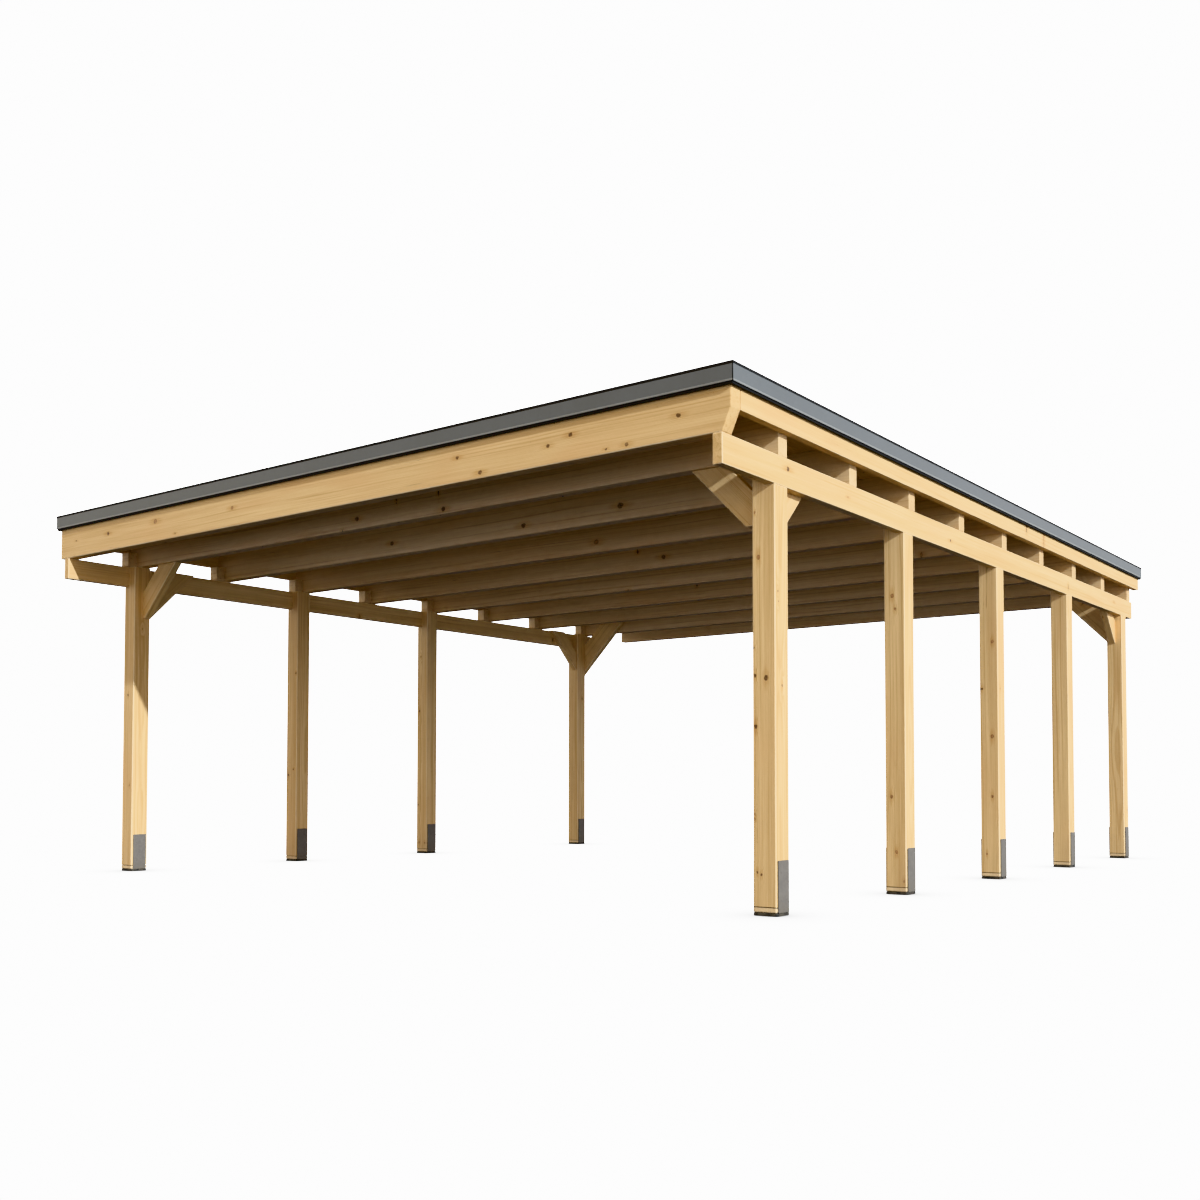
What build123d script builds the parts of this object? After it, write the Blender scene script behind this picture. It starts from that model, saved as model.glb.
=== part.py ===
"""Flat-roofed timber double carport.

Frame: +Z up, ground at Z = 0, -Y is the drive-in front, +X is the row of five
posts. The origin is on the ground, under the middle of the roof. Millimetres.
"""

from build123d import *
import os

# ---------------------------------------------------------------- dimensions
# plan
WIDTH = 6060.0           # outer face to outer face of the two post rows
BAY = 1641.0             # post spacing along the right row
FRONT_OVERHANG = 520.0   # front post face to front board face
BEAM_TAIL = 60.0         # beams run on past the rafter behind their last post
ROOF_TAIL = 110.0        # roof runs on past the back board

# posts and their steel shoes
POST = 140.0
POST_FOOT = 20.0         # underside of the timber, on the shoe's base plate
SHOE_WALL = 8.0
SHOE_WIDTH = 112.0
SHOE_TOP = 295.0

# side beams, let into the outer side of the posts
BEAM_T = 60.0
BEAM_H = 160.0
BEAM_Z = 2300.0          # underside, the clear height at the sides

# rafters, carried on the beams
RAFTER_T = 90.0
RAFTER_H = 240.0
RAFTER_2 = 47.0          # front of the rafter over the front posts
RAFTERS = 10             # with the front and the back board

# side boards over the rafter ends
SIDE_BOARD_T = 52.0
SIDE_BOARD_H = 120.0

# knee braces
BRACE_T = 60.0
BRACE_W = 150.0
BRACE_LEG = 430.0        # rafter underside to the lowest point on the post
BRACE_SETBACK = 75.0     # front post face to the face of the cross brace
FRONT_BRACE_W = 165.0    # front cross braces
FRONT_BRACE_LEG = 440.0
FRONT_BRACE_NOSE = {1: 85.0, -1: 25.0}  # their lower tips are cut off level, this far from the post
BRACE_LAP = 70.0         # rear cross braces lap this far over the post
BRACE_RISE = 130.0       # rear cross braces lap this far up the rafter behind the post
REAR_BRACE_W = 220.0     # rear cross braces are broader, up to the beam's underside

# roof
DECK_T = 22.0
SHEET_T = 12.0
TRIM_OUT = 28.0          # trim face in front of the boards below it
TRIM_IN = 62.0           # width of the rim inside that face
TRIM_DROP = 22.0         # trim hangs below the deck's underside
TRIM_H = 122.0

# ---------------------------------------------------------------- derived
BEAM_TOP = BEAM_Z + BEAM_H
RAFTER_TOP = BEAM_TOP + RAFTER_H
DECK_TOP = RAFTER_TOP + DECK_T
TRIM_Z0 = RAFTER_TOP - TRIM_DROP
TRIM_Z1 = TRIM_Z0 + TRIM_H
HALF = WIDTH / 2.0
EDGE_X = HALF + SIDE_BOARD_T
ROOF_X = EDGE_X + TRIM_OUT
REAR_FACE = 4 * BAY + POST + BRACE_T     # back board, behind the rear cross braces
BACK_FACE = REAR_FACE + RAFTER_T
ROOF_Y0 = -FRONT_OVERHANG - TRIM_OUT
ROOF_Y1 = BACK_FACE + ROOF_TAIL + TRIM_OUT
Y_SHIFT = -(ROOF_Y0 + ROOF_Y1) / 2.0     # puts the origin under the roof's middle

PITCH = (REAR_FACE - RAFTER_2) / (RAFTERS - 2)

# Both last posts stand one brace's thickness in front of a rafter: the right one
# in front of the back board, the left one in front of the rafter before it.
LAST_LEFT = RAFTER_2 + (RAFTERS - 3) * PITCH - BRACE_T - POST
RIGHT_POSTS = [0.0, BAY, 2 * BAY, 3 * BAY, 4 * BAY]
LEFT_POSTS = [0.0, BAY, 2 * BAY, LAST_LEFT]

# Each beam ends the same way behind the rafter that its last post stands at.
RIGHT_BEAM_END = BACK_FACE + BEAM_TAIL
LEFT_BEAM_END = LAST_LEFT + POST + BRACE_T + RAFTER_T + BEAM_TAIL

os.makedirs("parts", exist_ok=True)


def save(shape, name):
    """Writes one piece, moved from the front post's datum to the part's frame."""
    moved = Pos(0, Y_SHIFT, 0) * shape
    moved.label = name
    export_step(moved, os.path.join("parts", name + ".step"))


def block(x0, x1, y0, y1, z0, z1):
    return Pos((x0 + x1) / 2, (y0 + y1) / 2, (z0 + z1) / 2) * Box(
        abs(x1 - x0), abs(y1 - y0), abs(z1 - z0)
    )


def plate_xz(points, y0, y1):
    """A flat board drawn in X and Z, y0 to y1 thick."""
    face = make_face(Polyline(*[(x, y0, z) for x, z in points], close=True))
    return extrude(face, amount=y1 - y0, dir=(0, 1, 0))


def plate_yz(points, x0, x1):
    """A flat board drawn in Y and Z, x0 to x1 thick."""
    face = make_face(Polyline(*[(x0, y, z) for y, z in points], close=True))
    return extrude(face, amount=x1 - x0, dir=(1, 0, 0))


def plan(points, z0, z1):
    """A prism drawn in X and Y, z0 to z1 high."""
    face = make_face(Polyline(*[(x, y, z0) for x, y in points], close=True))
    return extrude(face, amount=z1 - z0, dir=(0, 0, 1))


# ---------------------------------------------------------------- posts
def post(side, y):
    """A square post, cut back at the head so that its tongue stands behind the beam."""
    outer, inner = side * HALF, side * (HALF - POST)
    body = block(outer, inner, y, y + POST, POST_FOOT, BEAM_TOP)
    notch = block(
        side * (HALF + 1), side * (HALF - BEAM_T), y - 1, y + POST + 1, BEAM_Z, BEAM_TOP + 1
    )
    return body - notch


def shoe(side, y):
    """A U-shaped steel shoe: base plate under the post and two side plates on its X faces."""
    outer, inner = side * HALF, side * (HALF - POST)
    middle = y + POST / 2
    half = SHOE_WIDTH / 2
    base = block(
        outer + side * SHOE_WALL, inner - side * SHOE_WALL, y, y + POST, 0, POST_FOOT
    )
    outer_wall = block(
        outer, outer + side * SHOE_WALL, middle - half, middle + half, 0, SHOE_TOP
    )
    inner_wall = block(
        inner, inner - side * SHOE_WALL, middle - half, middle + half, 0, SHOE_TOP
    )
    return base + outer_wall + inner_wall


for row, side, places in (("right", 1, RIGHT_POSTS), ("left", -1, LEFT_POSTS)):
    for number, y in enumerate(places, 1):
        save(post(side, y), f"post_{row}_{number}")
        save(shoe(side, y), f"post_shoe_{row}_{number}")

# ---------------------------------------------------------------- side beams
for row, side, end in (("right", 1, RIGHT_BEAM_END), ("left", -1, LEFT_BEAM_END)):
    save(
        block(side * HALF, side * (HALF - BEAM_T), -FRONT_OVERHANG, end, BEAM_Z, BEAM_TOP),
        f"side_beam_{row}",
    )

# ---------------------------------------------------------------- rafters
# The front board reaches over the ends of both side boards. Its right end is
# cut back on a slant, from the side board's lower edge in to the beam.
SIDE_BOARD_Z = RAFTER_TOP - SIDE_BOARD_H
save(
    plate_xz(
        [
            (-EDGE_X, BEAM_TOP),
            (HALF, BEAM_TOP),
            (EDGE_X, SIDE_BOARD_Z),
            (EDGE_X, RAFTER_TOP),
            (-EDGE_X, RAFTER_TOP),
        ],
        -FRONT_OVERHANG,
        -FRONT_OVERHANG + RAFTER_T,
    ),
    "front_board",
)
for number in range(2, RAFTERS + 1):
    y = RAFTER_2 + (number - 2) * PITCH
    name = "back_board" if number == RAFTERS else f"rafter_{number}"
    save(block(-HALF, HALF, y, y + RAFTER_T, BEAM_TOP, RAFTER_TOP), name)

# ---------------------------------------------------------------- side boards
for row, side in (("right", 1), ("left", -1)):
    save(
        block(
            side * HALF,
            side * EDGE_X,
            -FRONT_OVERHANG + RAFTER_T,
            BACK_FACE + ROOF_TAIL,
            SIDE_BOARD_Z,
            RAFTER_TOP,
        ),
        f"side_board_{row}",
    )

# ---------------------------------------------------------------- knee braces
UPPER_LEG = BRACE_LEG - BRACE_W * 2**0.5
REAR_UPPER_LEG = BRACE_LEG - REAR_BRACE_W * 2**0.5
FRONT_UPPER_LEG = FRONT_BRACE_LEG - FRONT_BRACE_W * 2**0.5
for row, side, rear_post in (("right", 1, RIGHT_POSTS[-1]), ("left", -1, LEFT_POSTS[-1])):
    inner = side * (HALF - POST)
    # cross brace, front: between the post's inner face and the rafter above it
    cut = FRONT_BRACE_NOSE[side]
    nose = BEAM_TOP - FRONT_BRACE_LEG + cut
    save(
        plate_xz(
            [
                (inner, nose),
                (inner, BEAM_TOP - FRONT_UPPER_LEG),
                (inner - side * FRONT_UPPER_LEG, BEAM_TOP),
                (inner - side * FRONT_BRACE_LEG, BEAM_TOP),
                (inner - side * cut, nose),
            ],
            BRACE_SETBACK,
            BRACE_SETBACK + BRACE_T,
        ),
        f"cross_brace_front_{row}",
    )
    # cross brace, rear: laps the post's back face and the front face of the rafter behind it
    low, high = BEAM_TOP - BRACE_LEG, BEAM_TOP - REAR_UPPER_LEG
    top = BEAM_TOP + BRACE_RISE
    save(
        plate_xz(
            [
                (inner + side * BRACE_LAP, low - BRACE_LAP),
                (inner + side * BRACE_LAP, high - BRACE_LAP),
                (inner - side * (top - high), top),
                (inner - side * (top - low), top),
            ],
            rear_post + POST,
            rear_post + POST + BRACE_T,
        ),
        f"cross_brace_rear_{row}",
    )
    # side braces, along the inner face of the beam
    face, back = side * (HALF - BEAM_T), side * (HALF - BEAM_T - BRACE_T)
    for place, start, way in (("front", POST, 1), ("rear", rear_post, -1)):
        save(
            plate_yz(
                [
                    (start, BEAM_TOP - BRACE_LEG),
                    (start, BEAM_TOP - UPPER_LEG),
                    (start + way * UPPER_LEG, BEAM_TOP),
                    (start + way * BRACE_LEG, BEAM_TOP),
                ],
                min(face, back),
                max(face, back),
            ),
            f"side_brace_{place}_{row}",
        )

# ---------------------------------------------------------------- roof
DECK_Y0, DECK_Y1 = -FRONT_OVERHANG, BACK_FACE + ROOF_TAIL
save(block(-EDGE_X, EDGE_X, DECK_Y0, DECK_Y1, RAFTER_TOP, DECK_TOP), "roof_deck")
save(
    block(
        -EDGE_X + TRIM_IN,
        EDGE_X - TRIM_IN,
        DECK_Y0 + TRIM_IN,
        DECK_Y1 - TRIM_IN,
        DECK_TOP,
        DECK_TOP + SHEET_T,
    ),
    "roof_sheet",
)


def ring(inset):
    """Corners of the roof's outline, drawn in by inset: front left, front right, back right, back left."""
    x, y0, y1 = ROOF_X - inset, ROOF_Y0 + inset, ROOF_Y1 - inset
    return [(-x, y0), (x, y0), (x, y1), (-x, y1)]


# mitred edge trim: a hanging face outside the deck and a rim on top of it
outer, middle, innermost = ring(0), ring(TRIM_OUT), ring(TRIM_OUT + TRIM_IN)
for name, a, b in (("front", 0, 1), ("right", 1, 2), ("back", 2, 3), ("left", 3, 0)):
    face = plan([outer[a], outer[b], middle[b], middle[a]], TRIM_Z0, TRIM_Z1)
    rim = plan([middle[a], middle[b], innermost[b], innermost[a]], DECK_TOP, TRIM_Z1)
    save(face + rim, f"roof_trim_{name}")
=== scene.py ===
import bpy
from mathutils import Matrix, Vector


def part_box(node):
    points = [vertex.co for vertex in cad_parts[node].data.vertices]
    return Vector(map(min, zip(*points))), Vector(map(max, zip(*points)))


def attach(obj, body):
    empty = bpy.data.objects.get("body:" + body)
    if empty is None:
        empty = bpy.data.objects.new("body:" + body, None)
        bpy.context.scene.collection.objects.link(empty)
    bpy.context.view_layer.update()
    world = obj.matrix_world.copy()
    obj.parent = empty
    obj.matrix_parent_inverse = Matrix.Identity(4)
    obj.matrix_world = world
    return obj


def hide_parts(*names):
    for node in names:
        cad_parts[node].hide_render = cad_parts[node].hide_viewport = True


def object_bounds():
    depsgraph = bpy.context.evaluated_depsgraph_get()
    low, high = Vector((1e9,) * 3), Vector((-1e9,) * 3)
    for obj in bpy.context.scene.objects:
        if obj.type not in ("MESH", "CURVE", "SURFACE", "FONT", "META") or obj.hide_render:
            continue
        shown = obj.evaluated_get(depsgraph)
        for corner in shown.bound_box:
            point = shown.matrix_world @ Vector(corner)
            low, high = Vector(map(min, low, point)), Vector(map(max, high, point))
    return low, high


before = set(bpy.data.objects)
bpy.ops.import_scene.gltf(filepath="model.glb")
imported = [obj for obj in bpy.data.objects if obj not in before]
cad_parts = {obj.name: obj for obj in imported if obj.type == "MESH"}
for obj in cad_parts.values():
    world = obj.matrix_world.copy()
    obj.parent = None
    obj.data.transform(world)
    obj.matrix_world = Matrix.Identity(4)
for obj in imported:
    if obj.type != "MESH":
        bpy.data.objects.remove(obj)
cad_box = [[float(v) for v in corner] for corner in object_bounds()]

import math
import random

import bmesh
import bpy
from mathutils import Vector

scene = bpy.context.scene


# ------------------------------------------------------------------ node helper
class Tree:
    """Short names for the shader nodes that are used here."""

    def __init__(self, tree):
        self.tree = tree
        self.tree.nodes.clear()

    def node(self, kind, **props):
        made = self.tree.nodes.new(kind)
        for key, value in props.items():
            setattr(made, key, value)
        return made

    def put(self, socket, value):
        if isinstance(value, bpy.types.NodeSocket):
            self.tree.links.new(value, socket)
        elif value is not None:
            socket.default_value = value

    def math(self, operation, *values, clamp=False):
        made = self.node("ShaderNodeMath", operation=operation, use_clamp=clamp)
        for socket, value in zip(made.inputs, values):
            self.put(socket, value)
        return made.outputs[0]

    def vec(self, operation, *values):
        made = self.node("ShaderNodeVectorMath", operation=operation)
        for socket, value in zip(made.inputs, values):
            self.put(socket, value)
        return made.outputs["Value" if operation in ("LENGTH", "DOT_PRODUCT", "DISTANCE") else "Vector"]

    def scaled(self, vector, factors):
        return self.vec("MULTIPLY", vector, factors)

    def attribute(self, name):
        return self.node("ShaderNodeAttribute", attribute_name=name).outputs["Vector"]

    def split(self, vector):
        made = self.node("ShaderNodeSeparateXYZ")
        self.put(made.inputs[0], vector)
        return made.outputs[0], made.outputs[1], made.outputs[2]

    def join(self, x, y, z):
        made = self.node("ShaderNodeCombineXYZ")
        for socket, value in zip(made.inputs, (x, y, z)):
            self.put(socket, value)
        return made.outputs[0]

    def noise(self, vector, scale=1.0, detail=2.0, rough=0.5, colour=False):
        made = self.node("ShaderNodeTexNoise")
        self.put(made.inputs["Vector"], vector)
        self.put(made.inputs["Scale"], scale)
        self.put(made.inputs["Detail"], detail)
        self.put(made.inputs["Roughness"], rough)
        return made.outputs[1 if colour else 0]

    def noise_1d(self, w, scale=1.0, detail=1.0):
        made = self.node("ShaderNodeTexNoise", noise_dimensions="1D")
        self.put(made.inputs["W"], w)
        self.put(made.inputs["Scale"], scale)
        self.put(made.inputs["Detail"], detail)
        return made.outputs[0]

    def step(self, value, low, high, start=0.0, end=1.0):
        made = self.node("ShaderNodeMapRange", interpolation_type="SMOOTHSTEP")
        for socket, number in zip(made.inputs, (value, low, high, start, end)):
            self.put(socket, number)
        return made.outputs[0]

    def mix(self, factor, a, b, blend="MIX"):
        made = self.node("ShaderNodeMix", data_type="RGBA", blend_type=blend)
        self.put(made.inputs[0], factor)
        for socket, value in ((made.inputs[6], a), (made.inputs[7], b)):
            self.put(socket, value if isinstance(value, bpy.types.NodeSocket) else (*value, 1.0))
        return made.outputs[2]

    def bump(self, height, strength, distance):
        made = self.node("ShaderNodeBump")
        self.put(made.inputs["Height"], height)
        self.put(made.inputs["Strength"], strength)
        self.put(made.inputs["Distance"], distance)
        return made.outputs[0]

    def surface(self, colour, rough, normal=None, **fixed):
        made = self.node("ShaderNodeBsdfPrincipled")
        self.put(made.inputs["Base Color"], colour)
        self.put(made.inputs["Roughness"], rough)
        if normal is not None:
            self.put(made.inputs["Normal"], normal)
        for key, value in fixed.items():
            made.inputs[key.replace("_", " ")].default_value = value
        out = self.node("ShaderNodeOutputMaterial")
        self.tree.links.new(made.outputs[0], out.inputs["Surface"])


def material(name):
    made = bpy.data.materials.new(name)
    made.use_nodes = True
    return made, Tree(made.node_tree)


# ------------------------------------------------------------------ timber
LIGHT = (0.800, 0.575, 0.300)
DARK = (0.545, 0.345, 0.150)


def wood(name, knots=(), ring=0.0058, contrast=1.0, knot_rate=0.5, knot_size=1.0, light=LIGHT, dark=DARK, band=False, highlight_gain=1.0):
    """Planed softwood. Reads the "grain" attribute (x along the fibre, y and z from
    the pith, metres) and the "look" attribute (tone, warmth, arris)."""
    made, t = material(name)
    grain = t.attribute("grain")
    tone, warmth, arris = t.split(t.attribute("look"))
    x, y, z = t.split(grain)

    # the stem is never quite straight
    sway = t.vec("SUBTRACT", t.noise(t.scaled(grain, (0.8, 2.0, 2.0)), detail=1.0, colour=True), (0.5, 0.5, 0.5))
    bent = t.vec("ADD", grain, t.scaled(sway, (0.0, 0.035, 0.035)))
    ragged = t.scaled(
        t.vec("SUBTRACT", t.noise(t.scaled(grain, (42.0, 62.0, 62.0)), detail=3.0, rough=0.6, colour=True), (0.5, 0.5, 0.5)),
        (0.015, 0.015, 0.015),
    )

    # branches grow out from the pith: one cell in height and angle for each
    radius = t.math("SQRT", t.math("ADD", t.math("MULTIPLY", y, y), t.math("MULTIPLY", z, z)))
    angle = t.math("ARCTAN2", z, y)
    place = t.join(t.math("DIVIDE", x, 0.47), t.math("DIVIDE", angle, 0.62), 0.0)
    cells = t.node("ShaderNodeTexVoronoi", voronoi_dimensions="2D", feature="F1")
    t.put(cells.inputs["Vector"], place)
    cells.inputs["Scale"].default_value = 1.0
    chance, size, sort = t.split(cells.outputs["Color"])
    off_x, off_a, _ = t.split(t.vec("SUBTRACT", place, cells.outputs["Position"]))
    rag_x, rag_y, _ = t.split(ragged)
    along = t.math("ADD", t.math("MULTIPLY", off_x, 0.47 * 0.82), rag_x)
    across = t.math("ADD", t.math("MULTIPLY", t.math("MULTIPLY", off_a, 0.62), radius), rag_y)
    reach = t.math("MULTIPLY", t.math("MULTIPLY_ADD", size, 0.0060, 0.0032), knot_size)
    reach = t.math("MULTIPLY", reach, t.math("LESS_THAN", chance, knot_rate))
    reach = t.math("MAXIMUM", reach, 0.0004)
    across = t.math("MULTIPLY", across, across)
    away = t.math("SQRT", t.math("ADD", t.math("MULTIPLY", along, along), across))
    knot = t.math("DIVIDE", away, reach)
    along = t.math("MULTIPLY", along, 0.38)
    drawn = t.math("DIVIDE", t.math("SQRT", t.math("ADD", t.math("MULTIPLY", along, along), across)), reach)
    if knots:
        # knots that are set one by one
        there = t.vec("ADD", grain, ragged)
        for centre, factors in knots:
            shift = tuple(-c * f for c, f in zip(centre, factors))
            way = t.vec("MULTIPLY_ADD", there, factors, shift)
            knot = t.math("MINIMUM", knot, t.vec("LENGTH", way))
            drawn = t.math("MINIMUM", drawn, t.vec("LENGTH", t.scaled(way, (0.38, 1.0, 1.0))))

    # growth rings, which run round the knots
    _, by, bz = t.split(bent)
    round_stem = t.math("SQRT", t.math("ADD", t.math("MULTIPLY", by, by), t.math("MULTIPLY", bz, bz)))
    near = t.math("DIVIDE", 1.0, t.math("MULTIPLY_ADD", t.math("MULTIPLY", drawn, drawn), 0.16, 1.0))
    streak_fine = t.noise(t.scaled(grain, (2.2, 120.0, 120.0)), detail=2.0)
    depth = t.math("MULTIPLY_ADD", near, 0.017, round_stem)
    years = t.math("ADD", t.math("DIVIDE", depth, ring), t.math("MULTIPLY", streak_fine, 0.55))
    part = t.math("FRACT", years)
    late = t.math("SUBTRACT", t.step(part, 0.30, 0.90), t.step(part, 0.92, 1.0))
    late = t.math("MULTIPLY", late, t.math("MULTIPLY_ADD", t.noise_1d(years, 0.63), 1.1, 0.25))

    streak = t.noise(t.scaled(bent, (0.42, 17.0, 17.0)), detail=3.0, rough=0.58)
    fibre = t.noise(t.scaled(grain, (26.0, 950.0, 950.0)), detail=1.0)
    patch = t.noise(t.scaled(grain, (1.2, 5.0, 5.0)), detail=2.0)

    shade = t.math("MULTIPLY_ADD", t.math("SUBTRACT", streak, 0.5), 0.95 * contrast, 0.36)
    shade = t.math("MULTIPLY_ADD", late, 0.40 * contrast, shade)
    shade = t.math("MULTIPLY_ADD", t.math("SUBTRACT", streak_fine, 0.5), 0.55 * contrast, shade)
    shade = t.math("MULTIPLY_ADD", t.math("SUBTRACT", fibre, 0.5), 0.30 * contrast, shade)
    thread = t.step(t.noise(t.scaled(bent, (0.30, 62.0, 62.0)), detail=1.5), 0.54, 0.74)
    shade = t.math("MULTIPLY_ADD", thread, 0.48 * contrast, shade)
    shade = t.math("ADD", shade, tone, clamp=True)
    colour = t.mix(shade, light, dark)
    warm = t.math("ADD", t.step(patch, 0.45, 0.80, 0.0, 0.30), warmth, clamp=True)
    colour = t.mix(warm, colour, (0.640, 0.365, 0.165))

    # drying checks
    split_line = t.noise(t.scaled(bent, (0.35, 42.0, 42.0)), detail=1.0)
    split_line = t.step(t.math("ABSOLUTE", t.math("SUBTRACT", split_line, 0.5)), 0.002, 0.006, 1.0, 0.0)
    split_line = t.math("MULTIPLY", split_line, t.step(t.noise(t.scaled(grain, (1.6, 9.0, 9.0)), detail=1.0), 0.60, 0.68))
    colour = t.mix(t.math("MULTIPLY", split_line, 0.55), colour, (0.235, 0.120, 0.050))

    # knots: warm halo, brown heart with its own rings, dark edge
    halo = t.math("MULTIPLY", t.step(drawn, 0.6, 2.6, 0.62, 0.0), t.step(streak_fine, 0.30, 0.65, 0.45, 1.0))
    colour = t.mix(halo, colour, (0.74, 0.58, 0.42), "MULTIPLY")
    uneven = t.noise(t.scaled(grain, (70.0, 95.0, 95.0)), detail=2.0)
    heart = t.math("MULTIPLY", t.step(knot, 0.78, 1.18, 1.0, 0.0), t.step(uneven, 0.34, 0.50, 0.70, 1.0))
    rings = t.math("FRACT", t.math("MULTIPLY", knot, 4.3))
    sound = t.mix(rings, (0.285, 0.130, 0.052), (0.400, 0.205, 0.092))
    dead = t.mix(t.step(sort, 0.25, 0.50), sound, (0.085, 0.040, 0.019))
    colour = t.mix(t.math("MULTIPLY", heart, 0.88), colour, dead)
    edge = t.math("MULTIPLY", t.step(knot, 0.72, 0.98), t.step(knot, 1.02, 1.28, 1.0, 0.0))
    edge = t.math("MULTIPLY", edge, t.step(uneven, 0.36, 0.54, 0.35, 1.0))
    colour = t.mix(t.math("MULTIPLY", edge, 0.62), colour, (0.085, 0.040, 0.018))

    # painted highlight: the rounded arrises are made paler, in streaks along the grain
    arris_highlight = t.math("MULTIPLY", arris, t.step(streak_fine, 0.35, 0.62, 0.30 * highlight_gain, 0.70 * highlight_gain))
    colour = t.mix(arris_highlight, colour, (0.900, 0.720, 0.470))

    if band:
        # paler foot below the kerf, a near-black kerf, and darker wood in patches towards the foot above it
        object_z = t.split(t.node("ShaderNodeTexCoord").outputs["Object"])[2]
        paler_foot = t.step(object_z, 0.0435, 0.0455, 1.0, 0.0)
        colour = t.mix(t.math("MULTIPLY", paler_foot, 0.45), colour, (0.780, 0.620, 0.420))
        # painted shade: the kerf is coloured near-black
        kerf_painted_shade = t.math("MULTIPLY", t.step(object_z, 0.0440, 0.0447), t.step(object_z, 0.0493, 0.0500, 1.0, 0.0))
        colour = t.mix(t.math("MULTIPLY", kerf_painted_shade, 0.9), colour, (0.050, 0.028, 0.015))
        # darker towards the foot in patches: partly splashed dirt, partly painted contact shade
        foot_dirt_and_shade = t.math("MULTIPLY", t.step(object_z, 0.050, 0.34, 0.30, 0.0), t.step(patch, 0.35, 0.65))
        colour = t.mix(foot_dirt_and_shade, colour, (0.400, 0.270, 0.150))

    rough = t.math("MULTIPLY_ADD", late, -0.12, t.math("MULTIPLY_ADD", streak_fine, 0.22, 0.50))
    rough = t.math("MULTIPLY_ADD", heart, -0.12, rough)
    height = t.math("MULTIPLY_ADD", late, 0.55, t.math("MULTIPLY", streak_fine, 0.6))
    height = t.math("MULTIPLY_ADD", fibre, 0.35, height)
    height = t.math("MULTIPLY_ADD", split_line, -2.2, height)
    height = t.math("MULTIPLY_ADD", edge, -0.8, height)
    t.surface(colour, rough, t.bump(height, 0.45, 0.0006), Specular_IOR_Level=0.35)
    return made


class Grain:
    """Where a piece lay in its log: its fibre direction, its pith and a stretch of stem of its own."""

    count = 0

    def __init__(self, along, across, centre, half_across, depth=0.05, slip=0.0):
        Grain.count += 1
        self.along = Vector(along).normalized()
        self.across = Vector(across).normalized()
        self.third = self.along.cross(self.across)
        self.centre = Vector(centre)
        self.push = half_across + depth
        self.slip = slip
        self.stem = 7.3 * Grain.count

    def at(self, point):
        d = Vector(point) - self.centre
        return Vector((d.dot(self.along) + self.stem, d.dot(self.across) + self.push, d.dot(self.third) + self.slip))

    def knot(self, point, normal, size, stretch=0.85):
        """A knot on the face with this normal: its centre and factors in grain coordinates."""
        size *= 0.74
        n = Vector(normal)
        deep = [abs(n.dot(v)) for v in (self.along, self.across, self.third)]
        factors = [(stretch if i == 0 else 1.0) / size for i in range(3)]
        factors[deep.index(max(deep))] = 0.30 / size
        return tuple(self.at(point)), tuple(factors)


def solid_of(name):
    """The CAD node's solid as a clean mesh of flat faces."""
    bm = bmesh.new()
    bm.from_mesh(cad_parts[name].data)
    bmesh.ops.remove_doubles(bm, verts=bm.verts[:], dist=2e-5)
    bmesh.ops.dissolve_limit(bm, angle_limit=math.radians(1.0), verts=bm.verts[:], edges=bm.edges[:])
    bmesh.ops.recalc_face_normals(bm, faces=bm.faces[:])
    return bm


def soften(bm, width, segments=2, only=None):
    """Rounds the outer arrises. The new faces are marked in the layer "arris"."""
    layer = bm.faces.layers.int.get("arris") or bm.faces.layers.int.new("arris")
    edges = [
        e
        for e in bm.edges
        if len(e.link_faces) == 2 and e.calc_face_angle_signed(0.0) > 0.3 and (only is None or only(e))
    ]
    made = bmesh.ops.bevel(
        bm, geom=edges, offset=width, offset_type="OFFSET", segments=segments, profile=0.5, affect="EDGES", clamp_overlap=True
    )
    for face in made["faces"]:
        face[layer] = 1
    return bm


def place(bm, name, materials, slot, nodes=(), grain=None, looks=None, index=None):
    """Makes the piece from the bmesh, with its grain and look attributes, and hands it to the frame."""
    layer = bm.faces.layers.int.get("arris")
    bm.normal_update()
    mesh = bpy.data.meshes.new(name)
    bm.to_mesh(mesh)
    marks = [f[layer] for f in bm.faces] if layer else [0] * len(mesh.polygons)
    if grain is not None:
        pick = grain if callable(grain) else (lambda _face: grain)
        flat, look = [0.0] * (3 * len(mesh.loops)), [0.0] * (3 * len(mesh.loops))
        for polygon in mesh.polygons:
            here = pick(polygon)
            tone, warmth = looks(polygon) if callable(looks) else looks
            end = abs(polygon.normal.dot(here.along)) > 0.6 and not marks[polygon.index]
            for i in polygon.loop_indices:
                p = here.at(mesh.vertices[mesh.loops[i].vertex_index].co)
                flat[3 * i : 3 * i + 3] = p
                look[3 * i : 3 * i + 3] = (tone + (0.16 if end else 0.0), warmth, 1.0 if marks[polygon.index] else 0.0)
        for label, values in (("grain", flat), ("look", look)):
            made = mesh.attributes.new(label, "FLOAT_VECTOR", "CORNER")
            made.data.foreach_set("vector", values)
    for made in materials:
        mesh.materials.append(made)
    if index is not None:
        for polygon in mesh.polygons:
            polygon.material_index = index(polygon)
    bm.free()
    piece = bpy.data.objects.new(name, mesh)
    scene.collection.objects.link(piece)
    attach(piece, "root")
    if nodes:
        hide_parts(*nodes)
    return piece


def rng(name):
    return random.Random("carport " + name)


def looks_of(name, spread=0.10):
    r = rng(name + " look")
    return r.uniform(-spread, spread), r.uniform(0.0, 0.16)


def middle(name):
    lo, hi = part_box(name)
    return (Vector(lo) + Vector(hi)) / 2, (Vector(hi) - Vector(lo)) / 2


X, Y, Z = Vector((1, 0, 0)), Vector((0, 1, 0)), Vector((0, 0, 1))
FRONT, RIGHT, DOWN = -Y, X, -Z

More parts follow.
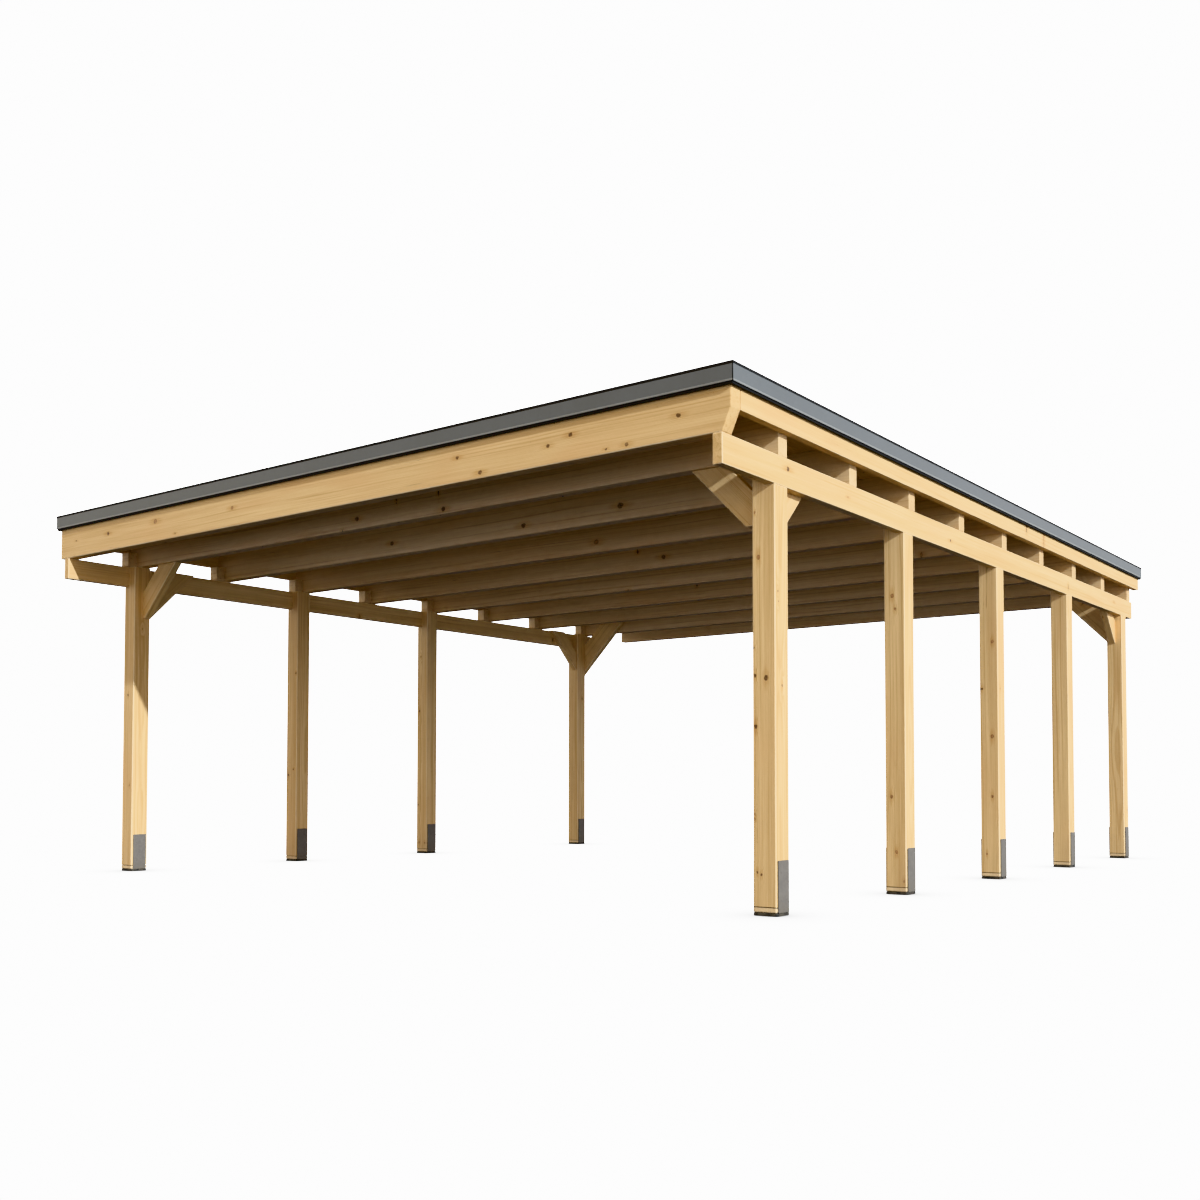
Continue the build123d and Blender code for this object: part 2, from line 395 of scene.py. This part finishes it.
# knots that stand out on single pieces: place on the face, face, size in metres
POST_KNOTS = {
    "post_right_1": [
        ((2.928, -3.222, 1.914), FRONT, 0.0135),
        ((2.906, -3.222, 1.280), FRONT, 0.0100),
        ((2.972, -3.222, 1.264), FRONT, 0.0150),
        ((2.907, -3.222, 2.158), FRONT, 0.0060),
        ((2.908, -3.222, 1.006), FRONT, 0.0125),
        ((2.900, -3.222, 0.540), FRONT, 0.0070),
        ((2.902, -3.222, 0.512), FRONT, 0.0060),
        ((2.916, -3.222, 0.231), FRONT, 0.0075),
        ((2.941, -3.222, 0.219), FRONT, 0.0075),
        ((3.030, -3.192, 1.727), RIGHT, 0.0080),
        ((3.030, -3.188, 1.672), RIGHT, 0.0060),
        ((3.030, -3.151, 1.225), RIGHT, 0.0080),
    ],
    "post_right_2": [
        ((2.946, -1.581, 1.901), FRONT, 0.0140),
        ((2.966, -1.581, 1.815), FRONT, 0.0110),
        ((2.933, -1.581, 0.620), FRONT, 0.0130),
        ((2.964, -1.581, 0.270), FRONT, 0.0110),
        ((3.013, -1.581, 0.085), FRONT, 0.0090),
    ],
    "post_right_3": [
        ((2.990, 0.060, 1.753), FRONT, 0.0130),
        ((2.983, 0.060, 1.051), FRONT, 0.0150),
        ((2.979, 0.060, 0.609), FRONT, 0.0120),
        ((2.934, 0.060, 0.184), FRONT, 0.0090),
    ],
    "post_left_1": [((-2.965, -3.222, 1.420), FRONT, 0.0090), ((-2.930, -3.222, 0.690), FRONT, 0.0080)],
}
BOARD_KNOTS = [
    ((-2.427, -3.742, 2.588), FRONT, 0.0150),
    ((-1.818, -3.742, 2.606), FRONT, 0.0190),
    ((-0.921, -3.742, 2.587), FRONT, 0.0155),
    ((-2.867, -3.742, 2.583), FRONT, 0.0080),
    ((-1.576, -3.742, 2.490), FRONT, 0.0080),
    ((1.202, -3.742, 2.607), FRONT, 0.0125),
    ((1.386, -3.742, 2.493), FRONT, 0.0155),
    ((1.895, -3.742, 2.567), FRONT, 0.0125),
    ((2.055, -3.742, 2.603), FRONT, 0.0145),
    ((2.435, -3.742, 2.490), FRONT, 0.0125),
    ((2.297, -3.742, 2.486), FRONT, 0.0070),
    ((2.765, -3.742, 2.586), FRONT, 0.0150),
]
BEAM_KNOTS = [
    ((3.030, -3.076, 2.404), RIGHT, 0.0160),
    ((3.030, -0.818, 2.364), RIGHT, 0.0120),
    ((3.030, 3.097, 2.396), RIGHT, 0.0130),
    ((3.030, -2.362, 2.382), RIGHT, 0.0090),
]
RAFTER_KNOTS = {
    "rafter_2": [((-0.300, -3.175, 2.530), FRONT, 0.0190), ((0.530, -3.175, 2.492), FRONT, 0.0180)],
    "rafter_3": [((-0.851, -2.335, 2.550), FRONT, 0.0190), ((0.489, -2.335, 2.527), FRONT, 0.0200), ((1.345, -2.335, 2.557), FRONT, 0.0240)],
    "rafter_4": [((0.489, -1.496, 2.539), FRONT, 0.0220)],
    "rafter_5": [((0.528, -0.656, 2.543), FRONT, 0.0200)],
}


def set_knots(grain, rows):
    return [grain.knot(point, normal, size) for point, normal, size in rows]


POST_WOOD = wood("post_wood", knot_rate=0.22, contrast=1.45, band=True)
BEAM_WOOD = wood("beam_wood", knot_rate=0.45, contrast=1.35)
BOARD_WOOD = wood("board_wood", knot_rate=0.40, contrast=1.35)
# painted shade colour: a slightly darker, bluer copy of the timber palette for the rafters and the deck under the roof
SHADE_TINT_LIGHT, SHADE_TINT_DARK = (0.760, 0.560, 0.325), (0.510, 0.335, 0.165)
RAFTER_WOOD = wood("rafter_wood", knot_rate=0.20, contrast=1.15, light=SHADE_TINT_LIGHT, dark=SHADE_TINT_DARK, highlight_gain=0.25)
BRACE_WOOD = wood("brace_wood", knot_rate=0.35)
DECK_WOOD = wood("deck_wood", knot_rate=0.55, contrast=1.2, ring=0.0045, light=SHADE_TINT_LIGHT, dark=SHADE_TINT_DARK)



def cleat(bm, lo, hi):
    """A block with planed-off arrises and a slanted top."""
    layer = bm.faces.layers.int.get("arris") or bm.faces.layers.int.new("arris")
    made = bmesh.ops.create_cube(bm, size=1.0)
    for v in made["verts"]:
        v.co = Vector([(lo[i] + hi[i]) / 2 + v.co[i] * (hi[i] - lo[i]) for i in range(3)])
        if v.co.z > lo[2] + 0.01 and v.co.y < lo[1] + 0.01:
            v.co.z -= 0.006
    edges = list({e for v in made["verts"] for e in v.link_edges})
    for face in bmesh.ops.bevel(bm, geom=edges, offset=0.0035, segments=2, profile=0.5, affect="EDGES", clamp_overlap=True)["faces"]:
        face[layer] = 1


posts = sorted(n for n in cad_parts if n.startswith("post_") and not n.startswith("post_shoe"))
for name in posts:
    r = rng(name)
    centre, half = middle(name)
    across = r.choice((X, -X, Y, -Y))
    if name in POST_KNOTS:
        across = r.choice((X, -X))
    grain = Grain(Z, across, centre, 0.07, r.uniform(0.03, 0.10), r.uniform(-0.03, 0.03))
    bm = soften(solid_of(name), 0.0055)
    # kerf round the foot
    for level in (0.0440, 0.0448, 0.0492, 0.0500):
        bmesh.ops.bisect_plane(bm, geom=bm.verts[:] + bm.edges[:] + bm.faces[:], dist=1e-6, plane_co=(0, 0, level), plane_no=(0, 0, 1))
    for v in bm.verts:
        if 0.0446 < v.co.z < 0.0494:
            v.co.x = centre.x + (v.co.x - centre.x) * 0.945
            v.co.y = centre.y + (v.co.y - centre.y) * 0.945
    own = wood(name + "_wood", set_knots(grain, POST_KNOTS[name]), knot_rate=0.10, contrast=1.45, band=True) if name in POST_KNOTS else POST_WOOD
    place(bm, name + "_timber", [own], "post_timber", [name], grain, looks_of(name, 0.07))

for name in ("side_beam_right", "side_beam_left"):
    r = rng(name)
    centre, half = middle(name)
    grain = Grain(Y, Z, centre, 0.08, 0.05, r.uniform(-0.02, 0.02))
    own = wood(name + "_wood", set_knots(grain, BEAM_KNOTS), knot_rate=0.15, contrast=1.45) if name.endswith("right") else BEAM_WOOD
    place(soften(solid_of(name), 0.0045), name + "_timber", [own], "beam_timber", [name], grain, looks_of(name, 0.04))

for name in ["front_board", "back_board"] + [f"rafter_{k}" for k in range(2, 10)]:
    r = rng(name)
    centre, half = middle(name)
    grain = Grain(X, r.choice((Z, -Z)) if name != "front_board" else Y, centre, 0.12, r.uniform(0.04, 0.10), r.uniform(-0.02, 0.02))
    if name == "front_board":
        grain = Grain(X, -Z, centre, 0.12, 0.05, 0.01)
        own = wood("front_board_wood", set_knots(grain, BOARD_KNOTS), knot_rate=0.12, contrast=1.20, highlight_gain=1.4)
        slot = "board_timber"
    elif name in RAFTER_KNOTS:
        own = wood(name + "_wood", set_knots(grain, RAFTER_KNOTS[name]), knot_rate=0.18, contrast=1.15, light=SHADE_TINT_LIGHT, dark=SHADE_TINT_DARK, highlight_gain=0.25)
        slot = "rafter_timber"
    else:
        own, slot = RAFTER_WOOD, "rafter_timber"
    looks = looks_of(name, 0.03 if name == "front_board" else 0.12)
    # painted light: the two front rafters get a paler tone than the rest
    if name in ("rafter_2", "rafter_3"):
        looks = (-0.26, 0.05)
    bm = soften(solid_of(name), 0.0060 if name == "front_board" else 0.0045)
    if name == "front_board":
        # only the lower front arris keeps the mark that drives the painted highlight
        layer = bm.faces.layers.int.get("arris")
        for face in bm.faces:
            at = face.calc_center_median()
            if at.z > 2.48 or abs(at.x) > 2.9:
                face[layer] = 0
    if name.startswith("rafter"):
        # a short cleat on the left beam, against the rafter's front
        lo, hi = (Vector(v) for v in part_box(name))
        cleat(bm, (lo.x + 0.001, lo.y - 0.080, lo.z + 0.0004), (lo.x + 0.095, lo.y - 0.0004, lo.z + 0.1190))
        # painted light: the cleat's faces get a much paler tone
        looks = lambda p, y=lo.y, rest=looks: (-0.34, 0.0) if p.center.y < y - 0.0002 else rest
    place(bm, name + "_timber", [own], slot, [name], grain, looks)

for name in ("side_board_right", "side_board_left"):
    r = rng(name)
    centre, half = middle(name)
    grain = Grain(Y, r.choice((Z, -Z)), centre, 0.06, 0.06, 0.01)
    bm = soften(solid_of(name), 0.0040, only=lambda e: abs(e.verts[0].co.y - e.verts[1].co.y) > 1.0 or e.verts[0].co.y > 0.0)
    place(bm, name + "_timber", [BOARD_WOOD], "board_timber", [name], grain, looks_of(name, 0.04))

braces = sorted(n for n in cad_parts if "_brace_" in n)
for name in braces:
    r = rng(name)
    centre, half = middle(name)
    inward = -1.0 if centre.x > 0 else 1.0
    if name.startswith("cross"):
        along, flat = Vector((inward, 0, 1)), Y
    else:
        along, flat = Vector((0, 1.0 if "front" in name else -1.0, 1)), X
    across = along.normalized().cross(flat)
    grain = Grain(along, across, centre, 0.09, r.uniform(0.03, 0.09), r.uniform(-0.02, 0.02))
    place(soften(solid_of(name), 0.0040), name + "_timber", [BRACE_WOOD], "brace_timber", [name], grain, looks_of(name, 0.08))


# ------------------------------------------------------------------ roof deck: boards with bevelled joints below
def boards():
    lo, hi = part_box("roof_deck")
    lo, hi = Vector(lo), Vector(hi)
    count = 51
    pitch = (hi.x - lo.x) / count
    bm = bmesh.new()
    for i in range(count):
        a, b = lo.x + i * pitch + 0.0004, lo.x + (i + 1) * pitch - 0.0004
        section = [(a + 0.004, lo.z), (b - 0.004, lo.z), (b, lo.z + 0.004), (b, hi.z), (a, hi.z), (a, lo.z + 0.004)]
        ends = [[bm.verts.new((x, y, z)) for x, z in section] for y in (lo.y, hi.y)]
        bm.faces.new(ends[0])
        bm.faces.new(ends[1][::-1])
        for k in range(6):
            n = (k + 1) % 6
            bm.faces.new((ends[0][n], ends[0][k], ends[1][k], ends[1][n]))
    bmesh.ops.recalc_face_normals(bm, faces=bm.faces[:])
    grains, tones = [], []
    for i in range(count):
        r = rng(f"deck board {i}")
        grains.append(Grain(Y, r.choice((Z, -Z)), (lo.x + (i + 0.5) * pitch, 0, (lo.z + hi.z) / 2), 0.011, r.uniform(0.02, 0.09), r.uniform(-0.05, 0.05)))
        tones.append((r.uniform(-0.10, 0.14), r.uniform(0.0, 0.2)))
    which = lambda polygon: min(count - 1, max(0, int((polygon.center.x - lo.x) / pitch)))
    return place(bm, "roof_deck_boards", [DECK_WOOD], "deck_timber", ["roof_deck"], lambda p: grains[which(p)], lambda p: tones[which(p)])


boards()


# ------------------------------------------------------------------ sheet metal, steel and roofing
def metal_paint(name, base, rough, dust=0.25, streaks=0.16):
    """Coated sheet: faint cloudiness, rain streaks, fine scratches and dust."""
    made, t = material(name)
    at = t.node("ShaderNodeTexCoord").outputs["Object"]
    cloud = t.noise(at, 2.6, 3.0, 0.6)
    run = t.noise(t.scaled(at, (34.0, 34.0, 2.5)), 1.0, 2.0)
    grit = t.noise(at, 520.0, 2.0)
    scratch = t.noise(t.scaled(at, (3.0, 3.0, 420.0)), 1.0, 1.0)
    level = t.math("MULTIPLY_ADD", t.math("SUBTRACT", cloud, 0.5), 0.55, 0.5)
    level = t.math("MULTIPLY_ADD", t.math("SUBTRACT", run, 0.5), streaks, level)
    level = t.math("MULTIPLY_ADD", t.math("SUBTRACT", grit, 0.5), 0.25, level, clamp=True)
    low = tuple(c * 0.80 for c in base)
    high = tuple(min(1.0, c * 1.22) for c in base)
    colour = t.mix(level, low, high)
    colour = t.mix(t.step(scratch, 0.72, 0.80, 0.0, 0.20), colour, tuple(min(1.0, c * 1.7) for c in base))
    facing = t.split(t.node("ShaderNodeNewGeometry").outputs["Normal"])[2]
    settled = t.math("MULTIPLY", t.step(facing, 0.55, 0.95, 0.0, dust), t.step(cloud, 0.30, 0.75))
    colour = t.mix(settled, colour, (0.300, 0.285, 0.260))
    roughness = t.math("MULTIPLY_ADD", cloud, 0.16, t.math("MULTIPLY_ADD", grit, 0.06, rough - 0.11))
    height = t.math("MULTIPLY_ADD", grit, 0.4, t.math("MULTIPLY", scratch, 0.25))
    t.surface(colour, roughness, t.bump(height, 0.18, 0.0004), Specular_IOR_Level=0.5)
    return made


TRIM = metal_paint("trim_metal", (0.123, 0.1265, 0.1295), 0.42)
HEM = metal_paint("trim_hem", (0.225, 0.222, 0.212), 0.38)
# near-black: painted shade under the trim and in the mitre seams, and the dark upper bead
TRIM_SHADE_BLACK = metal_paint("trim_black_painted_shade", (0.007, 0.006, 0.0055), 0.70, dust=0.04)


def trims():
    """Folded edge trim: hemmed lower edge, drip lip behind it, beaded upper edge, mitred corners. The drip lip, the
    underside and the short mitre ends are near-black as painted shade; the upper bead is near-black too.
    """
    x, y = cad_box[1][0], cad_box[1][1]
    y0 = cad_box[0][1]
    # distance in from the roof's outline, height, and material of the strip to the next point
    profile = [
        (0.0016, 2.6972, 1), (0.0000, 2.6995, 1), (0.0000, 2.7062, 1), (0.0020, 2.7082, 0),
        (0.0020, 2.7842, 2), (0.0000, 2.7860, 2), (0.0000, 2.7975, 2), (0.0022, 2.7998, 2),
        (0.0075, 2.7998, 2), (0.0095, 2.7975, 0), (0.0870, 2.7940, 0), (0.0898, 2.7912, 0),
        (0.0898, 2.7226, 0), (0.0276, 2.7226, 0), (0.0276, 2.6990, 2), (0.0190, 2.6990, 2),
        (0.0172, 2.6852, 2), (0.0150, 2.6838, 2), (0.0100, 2.6838, 2), (0.0082, 2.6852, 2), (0.0070, 2.6972, 2),
    ]

    def corners(d):
        return [Vector((-x + d, y0 + d)), Vector((x - d, y0 + d)), Vector((x - d, y - d)), Vector((-x + d, y - d))]

    for name, a, b in (("front", 0, 1), ("right", 1, 2), ("back", 2, 3), ("left", 3, 0)):
        bm = bmesh.new()
        layer = bm.faces.layers.int.new("kind")
        loops = []
        for gap, end in ((0.0006, 0), (0.0042, 0), (0.0042, 1), (0.0006, 1)):
            row = []
            for d, z, _ in profile:
                p, q = corners(d)[a], corners(d)[b]
                way = (q - p).normalized()
                at = p + way * gap if end == 0 else q - way * gap
                row.append(bm.verts.new((at.x, at.y, z)))
            loops.append(row)
        n = len(profile)
        for s in range(3):
            for k in range(n):
                m = (k + 1) % n
                face = bm.faces.new((loops[s][k], loops[s][m], loops[s + 1][m], loops[s + 1][k]))
                # the short pieces at the mitres are near-black: painted shade in the seam
                face[layer] = 2 if s != 1 else profile[k][2]
        for row, flip in ((loops[0], False), (loops[-1], True)):
            face = bm.faces.new(row[::-1] if flip else row)
            face[layer] = 2
        bmesh.ops.recalc_face_normals(bm, faces=bm.faces[:])
        kinds = [f[layer] for f in bm.faces]
        place(bm, f"roof_trim_{name}_folded", [TRIM, HEM, TRIM_SHADE_BLACK], "trim_metal", [f"roof_trim_{name}"], index=lambda p, k=kinds: k[p.index])


trims()


def roofing():
    """Roofing felt in lapped strips."""
    made, t = material("roofing_felt")
    at = t.node("ShaderNodeTexCoord").outputs["Object"]
    stone = t.noise(at, 780.0, 2.0, 0.7)
    cloud = t.noise(at, 0.9, 4.0, 0.6)
    damp = t.noise(at, 3.4, 3.0, 0.55)
    colour = t.mix(stone, (0.036, 0.036, 0.037), (0.128, 0.127, 0.125))
    colour = t.mix(t.step(cloud, 0.40, 0.75, 0.0, 0.30), colour, (0.140, 0.135, 0.126))
    colour = t.mix(t.step(damp, 0.54, 0.78, 0.0, 0.28), colour, (0.034, 0.034, 0.035))
    rough = t.math("MULTIPLY_ADD", stone, 0.18, 0.74)
    t.surface(colour, rough, t.bump(stone, 0.7, 0.0015), Specular_IOR_Level=0.3)
    lo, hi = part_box("roof_sheet")
    lo, hi = Vector(lo), Vector(hi)
    strips = 7
    width = (hi.x - lo.x) / strips
    bm = bmesh.new()
    for i in range(strips):
        a, b = lo.x + i * width, lo.x + (i + 1) * width
        lap = 0.085 if i else 0.0
        z0, z1, z2 = lo.z + 0.0005, hi.z - 0.0038, hi.z - 0.0004
        section = [(a, z0), (b, z0), (b, z1)]
        if lap:
            section += [(a + lap + 0.004, z1), (a + lap, z2 - 0.0006), (a + lap - 0.003, z2), (a + 0.001, z2), (a, z2 - 0.001)]
        else:
            section += [(a, z1)]
        stations = 26
        rows = []
        r = rng(f"felt {i}")
        for s in range(stations + 1):
            y = lo.y + (hi.y - lo.y) * s / stations
            wave = r.uniform(-0.004, 0.004) if 0 < s < stations else 0.0
            rows.append([bm.verts.new((px + (wave if lap and k in (3, 4, 5) else 0.0), y, pz)) for k, (px, pz) in enumerate(section)])
        n = len(section)
        for s in range(stations):
            for k in range(n):
                m = (k + 1) % n
                bm.faces.new((rows[s][k], rows[s][m], rows[s + 1][m], rows[s + 1][k]))
        bm.faces.new(rows[0])
        bm.faces.new(rows[-1][::-1])
    bmesh.ops.recalc_face_normals(bm, faces=bm.faces[:])
    place(bm, "roof_sheet_felt", [made], "roof_sheet", ["roof_sheet"])


roofing()


def steel(name, base, rough):
    """Grey coated steel with cloudy zinc, scuffs and splashed dirt near the ground."""
    made, t = material(name)
    at = t.node("ShaderNodeTexCoord").outputs["Object"]
    flake = t.node("ShaderNodeTexVoronoi", feature="F1")
    t.put(flake.inputs["Vector"], at)
    flake.inputs["Scale"].default_value = 95.0
    patch = t.noise(at, 21.0, 4.0, 0.6)
    scuff = t.noise(t.scaled(at, (60.0, 60.0, 260.0)), 1.0, 2.0)
    spangle = t.split(flake.outputs["Color"])[0]
    level = t.math("MULTIPLY_ADD", t.math("SUBTRACT", spangle, 0.5), 0.28, patch, clamp=True)
    colour = t.mix(level, tuple(c * 0.80 for c in base), tuple(c * 1.22 for c in base))
    colour = t.mix(t.step(scuff, 0.66, 0.76, 0.0, 0.30), colour, tuple(c * 1.6 for c in base))
    z = t.split(at)[2]
    dirt = t.math("MULTIPLY", t.step(z, 0.015, 0.14, 0.55, 0.0), t.step(patch, 0.35, 0.6))
    colour = t.mix(dirt, colour, (0.130, 0.105, 0.075))
    roughness = t.math("MULTIPLY_ADD", level, 0.18, rough)
    t.surface(colour, roughness, t.bump(patch, 0.25, 0.0006), Specular_IOR_Level=0.45)
    return made


PLATE = steel("shoe_plate", (0.147, 0.128, 0.110), 0.46)
PAD = steel("shoe_base", (0.016, 0.015, 0.015), 0.60)


def rounded_box(bm, lo, hi, upright, rest):
    """A box with its upright edges rounded by one width and the others by another."""
    made = bmesh.ops.create_cube(bm, size=1.0)
    for v in made["verts"]:
        v.co = Vector([(lo[i] + hi[i]) / 2 + v.co[i] * (hi[i] - lo[i]) for i in range(3)])
    edges = {e for v in made["verts"] for e in v.link_edges}
    stand = [e for e in edges if abs((e.verts[0].co - e.verts[1].co).normalized().dot(upright)) > 0.9]
    first = bmesh.ops.bevel(bm, geom=stand, offset=rest[0], segments=4, profile=0.5, affect="EDGES", clamp_overlap=True)
    faces = set(first["faces"]) | {f for v in made["verts"] if v.is_valid for f in v.link_faces}
    for f in list(faces):
        faces |= {g for e in f.edges for g in e.link_faces}
    rim = [
        e
        for e in {e for f in faces for e in f.edges}
        if len(e.link_faces) == 2 and (abs(e.link_faces[0].normal.dot(upright)) > 0.9) != (abs(e.link_faces[1].normal.dot(upright)) > 0.9)
    ]
    bmesh.ops.bevel(bm, geom=rim, offset=rest[1], segments=2, profile=0.5, affect="EDGES", clamp_overlap=True)


def shoe(name):
    """Steel shoe: a dark base with rounded corners, a plate up each side and flush domed screws."""
    lo, hi = (Vector(v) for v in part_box(name))
    centre = (lo + hi) / 2
    bm = bmesh.new()
    layer = bm.faces.layers.int.new("kind")
    rounded_box(bm, (lo.x + 0.0045, lo.y + 0.0015, 0.0), (hi.x - 0.0045, hi.y - 0.0015, 0.0190), Z, (0.012, 0.0050))
    for f in bm.faces:
        f[layer] = 1
    for inner in (lo.x, hi.x - 0.008):
        rounded_box(bm, (inner + 0.0002, centre.y - 0.056, 0.0185), (inner + 0.0078, centre.y + 0.056, 0.2950), X, (0.006, 0.0012))
        side = -1.0 if inner < centre.x else 1.0
        face_x = inner + 0.0040 + side * 0.0038
        for dy, z in ((-0.030, 0.235), (0.030, 0.235), (-0.030, 0.090), (0.030, 0.090)):
            rings = []
            for radius, out in ((0.0062, -0.0012), (0.0062, 0.0), (0.0050, 0.0007), (0.0022, 0.0010)):
                rings.append(
                    [
                        bm.verts.new((face_x + side * out, centre.y + dy + radius * math.cos(k * math.tau / 16), z + radius * math.sin(k * math.tau / 16)))
                        for k in range(16)
                    ]
                )
            for low, high in zip(rings, rings[1:]):
                for k in range(16):
                    m = (k + 1) % 16
                    bm.faces.new((low[k], low[m], high[m], high[k]))
            bm.faces.new(rings[0])
            bm.faces.new(rings[-1])
    bmesh.ops.recalc_face_normals(bm, faces=bm.faces[:])
    kinds = [f[layer] for f in bm.faces]
    place(bm, name + "_steel", [PLATE, PAD], "shoe_steel", [name], index=lambda p: kinds[p.index])


for name in sorted(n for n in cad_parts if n.startswith("post_shoe")):
    shoe(name)


# ------------------------------------------------------------------ floor, light, camera
def floor():
    made, t = material("floor_white")
    at = t.node("ShaderNodeTexCoord").outputs["Object"]
    # painted contact shadows: the floor's glow is dimmed near each post foot and where the AO node finds the frame
    # close by
    shaded = 0.0
    for name in sorted(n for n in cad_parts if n.startswith("post_shoe")):
        centre, _ = middle(name)
        away = t.vec("LENGTH", t.vec("SUBTRACT", t.vec("MULTIPLY", at, (1.0, 1.0, 0.0)), (centre.x, centre.y, 0.0)))
        shaded = t.math("MAXIMUM", shaded, t.step(away, 0.04, 0.62, 1.0, 0.0))
    close = t.node("ShaderNodeAmbientOcclusion", samples=8, only_local=False)
    close.inputs["Distance"].default_value = 0.30
    level = t.math("MULTIPLY_ADD", t.math("POWER", shaded, 1.5), -2.55, 3.70)
    level = t.math("MULTIPLY", level, t.step(close.outputs["AO"], 0.30, 0.85, 0.45, 1.0))
    glow = t.node("ShaderNodeEmission")
    glow.inputs["Color"].default_value = (1.0, 1.0, 1.0, 1.0)
    t.put(glow.inputs["Strength"], level)
    out = t.node("ShaderNodeOutputMaterial")
    t.tree.links.new(glow.outputs[0], out.inputs["Surface"])
    bm = bmesh.new()
    bmesh.ops.create_grid(bm, x_segments=8, y_segments=8, size=400.0)
    bmesh.ops.translate(bm, verts=bm.verts[:], vec=(0, 0, -0.0006))
    mesh = bpy.data.meshes.new("floor")
    bm.to_mesh(mesh)
    bm.free()
    mesh.materials.append(made)
    plane = bpy.data.objects.new("floor", mesh)
    scene.collection.objects.link(plane)
    plane.visible_diffuse = False
    plane.visible_glossy = False
    plane.visible_shadow = False


floor()

world = bpy.data.worlds.new("studio")
scene.world = world
world.use_nodes = True
t = Tree(world.node_tree)
way = t.node("ShaderNodeTexCoord").outputs["Generated"]
wx, wy, wz = t.split(way)
to_front = t.step(t.math("MULTIPLY", wy, -1.0), -0.20, 0.95)
to_left = t.step(t.math("MULTIPLY", wx, -1.0), 0.35, 0.95)
to_right = t.step(wx, 0.10, 0.90)
to_back = t.step(wy, 0.05, 0.90)
high = t.step(wz, 0.02, 0.80, 1.30, 0.45)
above = t.math("MULTIPLY_ADD", to_right, 0.30, t.math("MULTIPLY_ADD", to_front, 0.365, 0.26))
above = t.math("MULTIPLY_ADD", to_left, 0.70, t.math("MULTIPLY", above, high))
above = t.math("MULTIPLY_ADD", to_back, 0.42, above)
skyline = t.math("MULTIPLY", t.step(wz, -0.05, 0.01), t.step(wz, 0.16, 0.30, 1.0, 0.0))
near = t.step(wz, -0.60, -0.02)
below = t.math("MULTIPLY_ADD", to_right, 0.25, t.math("MULTIPLY_ADD", to_front, 1.26, 0.46))
below = t.math("MULTIPLY_ADD", t.math("MULTIPLY", near, near), below, 0.026)
level = t.step(wz, -0.02, 0.03)
sky = t.math("ADD", t.math("MULTIPLY", above, level), t.math("MULTIPLY", t.math("SUBTRACT", 1.0, level), below))
sky = t.math("MULTIPLY_ADD", t.math("MULTIPLY", skyline, to_right), 1.15, sky)
seen = t.node("ShaderNodeLightPath").outputs["Is Camera Ray"]
strength = t.math("ADD", t.math("MULTIPLY", sky, t.math("SUBTRACT", 1.0, seen)), t.math("MULTIPLY", seen, 3.7))
back = t.node("ShaderNodeBackground")
warm_side = t.math("MULTIPLY", to_front, t.step(wz, -0.02, 0.10))
cool_side = t.step(wz, 0.02, -0.12)
tint = t.mix(cool_side, (1.0, 1.0, 1.0), (0.93, 1.01, 1.24))
tint = t.mix(warm_side, tint, (1.20, 0.985, 0.59))
tint = t.mix(seen, tint, (1.0, 1.0, 1.0))
t.put(back.inputs["Color"], tint)
t.put(back.inputs["Strength"], strength)
out = t.node("ShaderNodeOutputWorld")
t.tree.links.new(back.outputs[0], out.inputs["Surface"])

sun = bpy.data.lights.new("sun", "SUN")
sun.energy = 4.85
sun.angle = math.radians(0.9)
sun.color = (0.89, 1.0, 1.08)
lamp = bpy.data.objects.new("sun", sun)
lamp.rotation_euler = Vector((-4.07, 1.0, -1.84)).to_track_quat("-Z", "Y").to_euler()
scene.collection.objects.link(lamp)

camera = bpy.data.cameras.new("camera")
camera.sensor_width = 36.0
camera.lens = 38.1251
camera.shift_x = -0.02345
camera.shift_y = 0.11656
camera.clip_end = 2000.0
eye = bpy.data.objects.new("camera", camera)
eye.location = (6.38256, -9.08268, 0.6983)
eye.rotation_euler = (math.pi / 2 + math.radians(2.0), 0.0, 0.63524)
scene.collection.objects.link(eye)
scene.camera = eye

scene.view_settings.view_transform = "Khronos PBR Neutral"
scene.view_settings.look = "None"
scene.cycles.use_denoising = True
